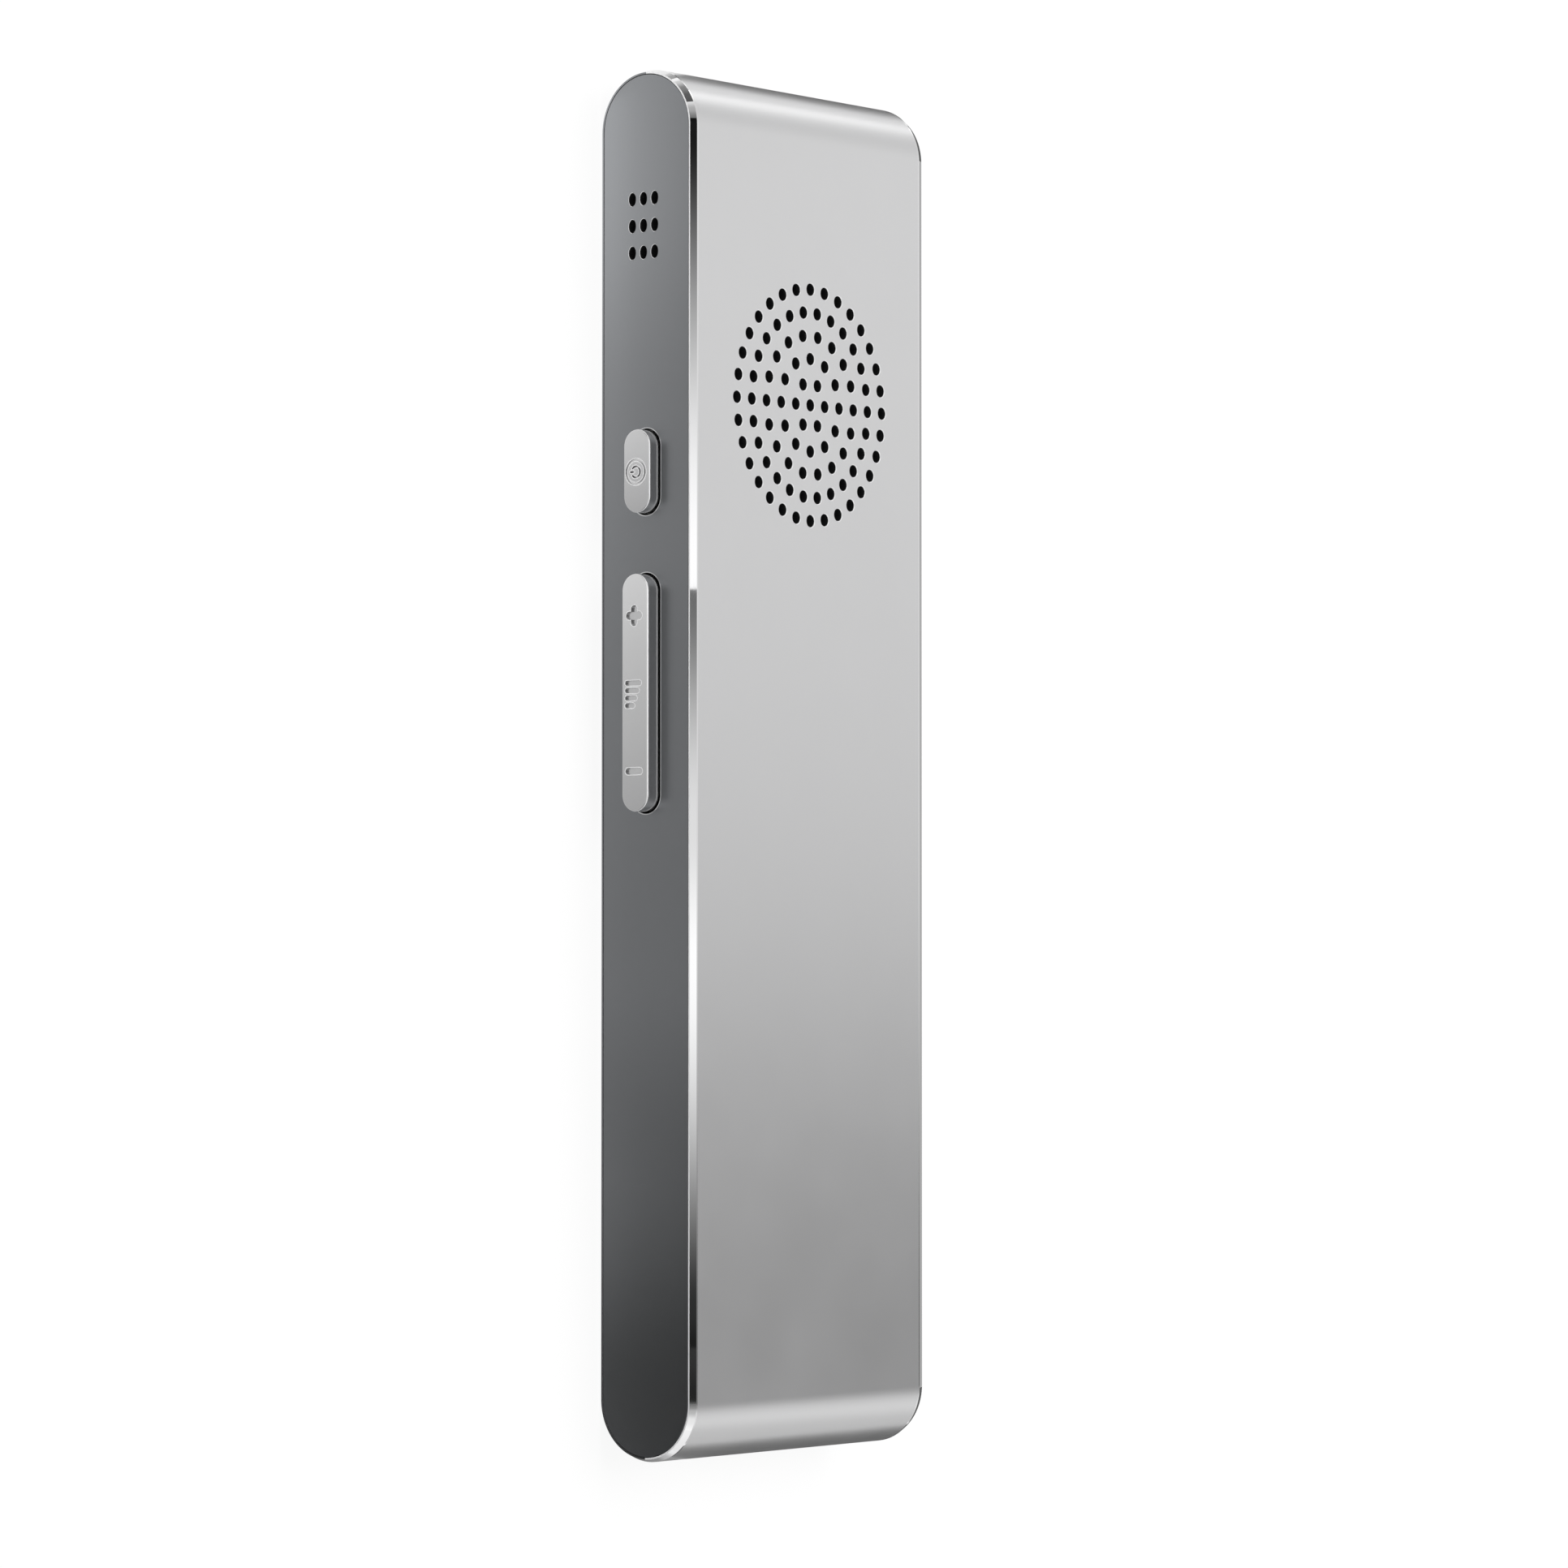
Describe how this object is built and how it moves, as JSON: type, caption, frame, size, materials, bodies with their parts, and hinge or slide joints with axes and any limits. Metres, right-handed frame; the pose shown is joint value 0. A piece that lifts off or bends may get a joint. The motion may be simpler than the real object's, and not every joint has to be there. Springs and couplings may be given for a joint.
{
  "type": "handheld translator",
  "caption": "Slim stick-shaped voice translator: aluminium band with round ends, dark side plates, loudspeaker grille, side power key, volume rocker and talk keys on the front face.",
  "frame": {"origin": "centre of the flat front face, the one with the two talk keys, on which the translator lies", "axes": "+Z out of the loudspeaker face, +Y along the length towards the loudspeaker end, +X towards the charging side"},
  "size_m": [0.0403, 0.142, 0.0123],
  "materials": {
    "satin_aluminium": "fine bead-blasted and clear anodised, with diamond-cut edges",
    "key_aluminium": "satin anodised with a polished edge",
    "graphite_plastic": "satin dark grey lacquer",
    "black_plastic": "fine matt moulded",
    "white_plastic": "matt moulded",
    "clear_plastic": "frosted clear",
    "black_rubber": "matt foam and rubber",
    "green_board": "solder mask",
    "amber_film": "polyimide film",
    "steel": "rolled and plated",
    "chip_resin": "moulded chip resin",
    "battery_foil": "laminated pouch foil",
    "red_wire": "wire insulation",
    "black_wire": "wire insulation",
    "cone_paper": "treated paper"
  },
  "bodies": {
    "housing": {"body_band": "satin_aluminium", "control_side_plate": "graphite_plastic", "charging_side_plate": "graphite_plastic", "control_plate_seal": "black_rubber", "charging_plate_seal": "black_rubber", "power_switch": "black_plastic", "volume_up_switch": "black_plastic", "volume_down_switch": "black_plastic", "talk_switch_upper": "black_plastic", "talk_switch_lower": "black_plastic", "key_flex": "amber_film", "key_bracket": "steel", "microphone_mesh": "black_plastic", "microphone_boot": "black_rubber", "microphone_capsule": "steel", "speaker_mesh": "black_plastic", "speaker_gasket": "black_rubber", "speaker_basket": "steel", "speaker_magnet": "steel", "speaker_cone": "cone_paper", "speaker_lead_left": "black_wire", "speaker_lead_right": "red_wire", "charging_socket_shell": "steel", "charging_socket_tongue": "black_plastic", "main_board": "green_board", "shield_can": "steel", "processor": "chip_resin", "memory_chip": "chip_resin", "radio_module": "steel", "audio_amplifier": "chip_resin", "board_screw_1": "steel", "board_screw_2": "steel", "board_screw_3": "steel", "board_screw_4": "steel", "status_led": "white_plastic", "led_light_guide": "clear_plastic", "carrier_frame": "black_plastic", "antenna_strip": "amber_film", "battery_pad": "black_rubber", "battery_cell": "battery_foil", "battery_guard_board": "green_board", "battery_connector": "white_plastic", "battery_lead_negative": "black_wire", "battery_lead_positive": "red_wire"},
    "power_unit": {"power_key": "key_aluminium", "power_plunger": "white_plastic"},
    "rocker_unit": {"volume_rocker": "key_aluminium"},
    "volume_up_unit": {"volume_up_plunger": "white_plastic"},
    "volume_down_unit": {"volume_down_plunger": "white_plastic"},
    "talk_upper_unit": {"talk_key_upper": "key_aluminium", "talk_plunger_upper": "white_plastic"},
    "talk_lower_unit": {"talk_key_lower": "key_aluminium", "talk_plunger_lower": "white_plastic"}
  },
  "joints": [
    {"name": "power_press", "type": "slide", "parent": "housing", "child": "power_unit", "axis": [1, 0, 0], "range_m": [0, 0.00035], "stiffness_N_per_m": 400, "springref_m": -0.0005},
    {"name": "rocker_tilt", "type": "hinge", "parent": "housing", "child": "rocker_unit", "pos_m": [-0.0173, 0.00715, 0.00615], "axis": [0, 0, -1], "range_deg": [-1.8, 1.8], "stiffness_Nm_per_rad": 0.06},
    {"name": "volume_up_press", "type": "slide", "parent": "housing", "child": "volume_up_unit", "axis": [1, 0, 0], "range_m": [-0.0003, 0.0003]},
    {"name": "volume_down_press", "type": "slide", "parent": "housing", "child": "volume_down_unit", "axis": [1, 0, 0], "range_m": [-0.0003, 0.0003]},
    {"name": "talk_upper_press", "type": "slide", "parent": "housing", "child": "talk_upper_unit", "axis": [0, 0, 1], "range_m": [0, 0.0003], "stiffness_N_per_m": 400, "springref_m": -0.0005},
    {"name": "talk_lower_press", "type": "slide", "parent": "housing", "child": "talk_lower_unit", "axis": [0, 0, 1], "range_m": [0, 0.0003], "stiffness_N_per_m": 400, "springref_m": -0.0005}
  ],
  "couplings": [
    {"joint": "volume_up_press", "follows": "rocker_tilt", "m_per_rad": 0.009},
    {"joint": "volume_down_press", "follows": "rocker_tilt", "m_per_rad": -0.009}
  ]
}
